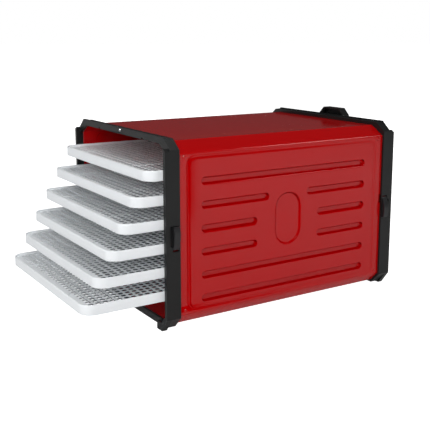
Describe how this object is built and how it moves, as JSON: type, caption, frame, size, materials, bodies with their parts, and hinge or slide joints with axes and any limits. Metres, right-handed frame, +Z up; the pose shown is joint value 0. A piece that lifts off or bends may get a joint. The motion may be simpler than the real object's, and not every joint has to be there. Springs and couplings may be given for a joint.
{
  "type": "food dehydrator",
  "caption": "Horizontal food dehydrator: octagonal steel tunnel with moulded end frames, staggered slide-out perforated trays and a rear fan heater unit.",
  "frame": {"origin": "middle of the frames' footprint, on the plane the feet stand on", "axes": "+Z up; -Y out of the open mouth, the way the trays pull; +X to the right of a person who faces the mouth"},
  "size_m": [0.348, 0.6088, 0.305],
  "materials": {
    "red_enamel": "gloss red enamel on pressed sheet steel",
    "black_moulding": "satin black moulded plastic with a fine texture",
    "black_clip": "smooth black moulded plastic",
    "bright_steel": "bright zinc-plated steel",
    "tray_plastic": "white food-grade plastic, slightly translucent",
    "zinc_sheet": "zinc-plated sheet steel",
    "mica_board": "pressed mica board",
    "heater_wire": "oxidised resistance wire",
    "grey_plastic": "grey glass-filled plastic",
    "lamination_steel": "stacked electrical-steel laminations",
    "copper_winding": "varnished copper winding",
    "bronze": "sintered bronze",
    "ivory_plastic": "heat-resistant ivory plastic",
    "red_plastic": "translucent red rocker",
    "amber_lens": "amber indicator lens",
    "lead_jacket": "silicone lead jacket"
  },
  "bodies": {
    "housing": {"casing_wrap": "red_enamel", "base_pan": "red_enamel", "panel_rivets": "red_enamel", "front_frame": "black_moulding", "rear_frame": "black_moulding", "frame_screws": "bright_steel", "catch_pins": "bright_steel", "fan_guard": "zinc_sheet", "heater_board": "mica_board", "heater_coil": "heater_wire", "thermal_cutout": "zinc_sheet", "motor_stack": "lamination_steel", "motor_winding": "copper_winding", "motor_bracket": "zinc_sheet", "shaft_bushes": "bronze", "motor_screws": "bright_steel", "rear_cover": "black_moulding", "grip_hood": "black_moulding", "cover_screws": "bright_steel", "thermostat_body": "ivory_plastic", "switch_housing": "black_clip", "indicator_lens": "amber_lens", "mains_inlet": "black_clip", "inlet_pins": "bright_steel", "terminal_block": "ivory_plastic", "internal_leads": "lead_jacket"},
    "front_left_catch": {"front_left_catch": "black_clip"},
    "front_right_catch": {"front_right_catch": "black_clip"},
    "rear_left_catch": {"rear_left_catch": "black_clip"},
    "rear_right_catch": {"rear_right_catch": "black_clip"},
    "tray_1": {"tray_1": "tray_plastic"},
    "tray_2": {"tray_2": "tray_plastic"},
    "tray_3": {"tray_3": "tray_plastic"},
    "tray_4": {"tray_4": "tray_plastic"},
    "tray_5": {"tray_5": "tray_plastic"},
    "tray_6": {"tray_6": "tray_plastic"},
    "fan": {"fan_impeller": "grey_plastic", "fan_shaft": "bright_steel", "motor_rotor": "zinc_sheet"},
    "knob": {"thermostat_knob": "black_clip", "thermostat_spindle": "bright_steel"},
    "rocker": {"switch_rocker": "red_plastic"}
  },
  "joints": [
    {"name": "tray_1_slide", "type": "slide", "parent": "housing", "child": "tray_1", "axis": [0, 1, 0], "range_m": [-0.3747, 0.0313]},
    {"name": "tray_2_slide", "type": "slide", "parent": "housing", "child": "tray_2", "axis": [0, 1, 0], "range_m": [-0.3544, 0.0516]},
    {"name": "tray_3_slide", "type": "slide", "parent": "housing", "child": "tray_3", "axis": [0, 1, 0], "range_m": [-0.3341, 0.0719]},
    {"name": "tray_4_slide", "type": "slide", "parent": "housing", "child": "tray_4", "axis": [0, 1, 0], "range_m": [-0.3138, 0.0922]},
    {"name": "tray_5_slide", "type": "slide", "parent": "housing", "child": "tray_5", "axis": [0, 1, 0], "range_m": [-0.2935, 0.1125]},
    {"name": "tray_6_slide", "type": "slide", "parent": "housing", "child": "tray_6", "axis": [0, 1, 0], "range_m": [-0.2732, 0.1328]},
    {"name": "front_left_catch_turn", "type": "hinge", "parent": "housing", "child": "front_left_catch", "pos_m": [-0.1665, -0.209, 0.13], "axis": [0, -1, 0], "range_deg": [0, 9], "stiffness_Nm_per_rad": 0.3},
    {"name": "front_right_catch_turn", "type": "hinge", "parent": "housing", "child": "front_right_catch", "pos_m": [0.1665, -0.209, 0.13], "axis": [0, 1, 0], "range_deg": [0, 9], "stiffness_Nm_per_rad": 0.3},
    {"name": "rear_left_catch_turn", "type": "hinge", "parent": "housing", "child": "rear_left_catch", "pos_m": [-0.1665, 0.209, 0.16], "axis": [0, 1, 0], "range_deg": [0, 9], "stiffness_Nm_per_rad": 0.3},
    {"name": "rear_right_catch_turn", "type": "hinge", "parent": "housing", "child": "rear_right_catch", "pos_m": [0.1665, 0.209, 0.16], "axis": [0, -1, 0], "range_deg": [0, 9], "stiffness_Nm_per_rad": 0.3},
    {"name": "fan_spin", "type": "hinge", "parent": "housing", "child": "fan", "pos_m": [0, 0.1945, 0.146], "axis": [0, 1, 0], "continuous": true},
    {"name": "knob_turn", "type": "hinge", "parent": "housing", "child": "knob", "pos_m": [-0.082, 0.2435, 0.052], "axis": [0, 1, 0], "range_deg": [0, 270]},
    {"name": "rocker_tilt", "type": "hinge", "parent": "housing", "child": "rocker", "pos_m": [0.082, 0.243, 0.052], "axis": [1, 0, 0], "range_deg": [0, 16]}
  ]
}
